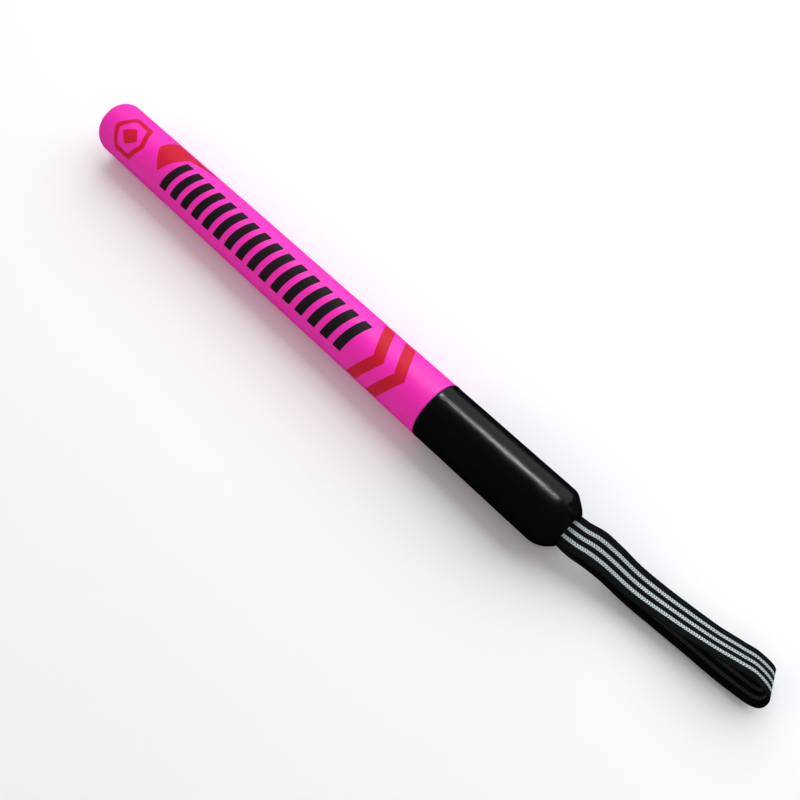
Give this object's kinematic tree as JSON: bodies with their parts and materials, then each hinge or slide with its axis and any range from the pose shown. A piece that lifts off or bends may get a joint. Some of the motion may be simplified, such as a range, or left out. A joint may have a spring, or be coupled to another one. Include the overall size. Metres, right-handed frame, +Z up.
{
  "type": "padded training stick",
  "caption": "Foam-padded striking stick over a plastic tube, in a two-colour synthetic leather skin with rounded ends and a webbing wrist loop at the grip end.",
  "frame": {"origin": "middle of the stick's padded length, on the flat line along its underside that it rests on", "axes": "+X along the stick from the padded tip to the grip and strap, +Z up, away from the surface it lies on"},
  "size_m": [0.7335, 0.0582, 0.0501],
  "materials": {
    "pink_skin": "satin",
    "black_skin": "satin",
    "red_print": "satin",
    "black_print": "satin",
    "foam": "matte",
    "white_plastic": "satin",
    "striped_webbing": "matte",
    "pink_thread": "satin",
    "black_thread": "satin",
    "steel": "satin"
  },
  "bodies": {
    "stick": {"core_tube": "white_plastic", "tip_plug": "white_plastic", "butt_plug": "white_plastic", "anchor_rivet": "steel", "foam_sleeve": "foam", "foam_tip_pad": "foam", "foam_butt_pad": "foam", "striking_cover": "pink_skin", "tip_cover_disc": "pink_skin", "grip_cover": "black_skin", "striking_seam_thread": "pink_thread", "grip_seam_thread": "black_thread", "tip_disc_thread": "pink_thread", "strap_tail_upper": "striped_webbing", "strap_tail_lower": "striped_webbing", "strap_bar_tack": "black_thread", "print_badge_ring": "red_print", "print_badge_diamond": "red_print", "print_wedge": "red_print", "print_bar_1": "black_print", "print_bar_2": "black_print", "print_bar_3": "black_print", "print_bar_4": "black_print", "print_bar_5": "black_print", "print_bar_6": "black_print", "print_bar_7": "black_print", "print_bar_8": "black_print", "print_bar_9": "black_print", "print_bar_10": "black_print", "print_bar_11": "black_print", "print_bar_12": "black_print", "print_bar_13": "black_print", "print_bar_14": "black_print", "print_bar_15": "black_print", "print_bar_16": "black_print", "print_chevron_1": "red_print", "print_chevron_2": "red_print"},
    "wrist_strap": {"wrist_loop": "striped_webbing"}
  },
  "joints": [
    {"name": "strap_swing", "type": "hinge", "parent": "stick", "child": "wrist_strap", "pos_m": [0.2872, 0, 0.02465], "axis": [0, 1, 0], "range_deg": [-90, 90]}
  ]
}
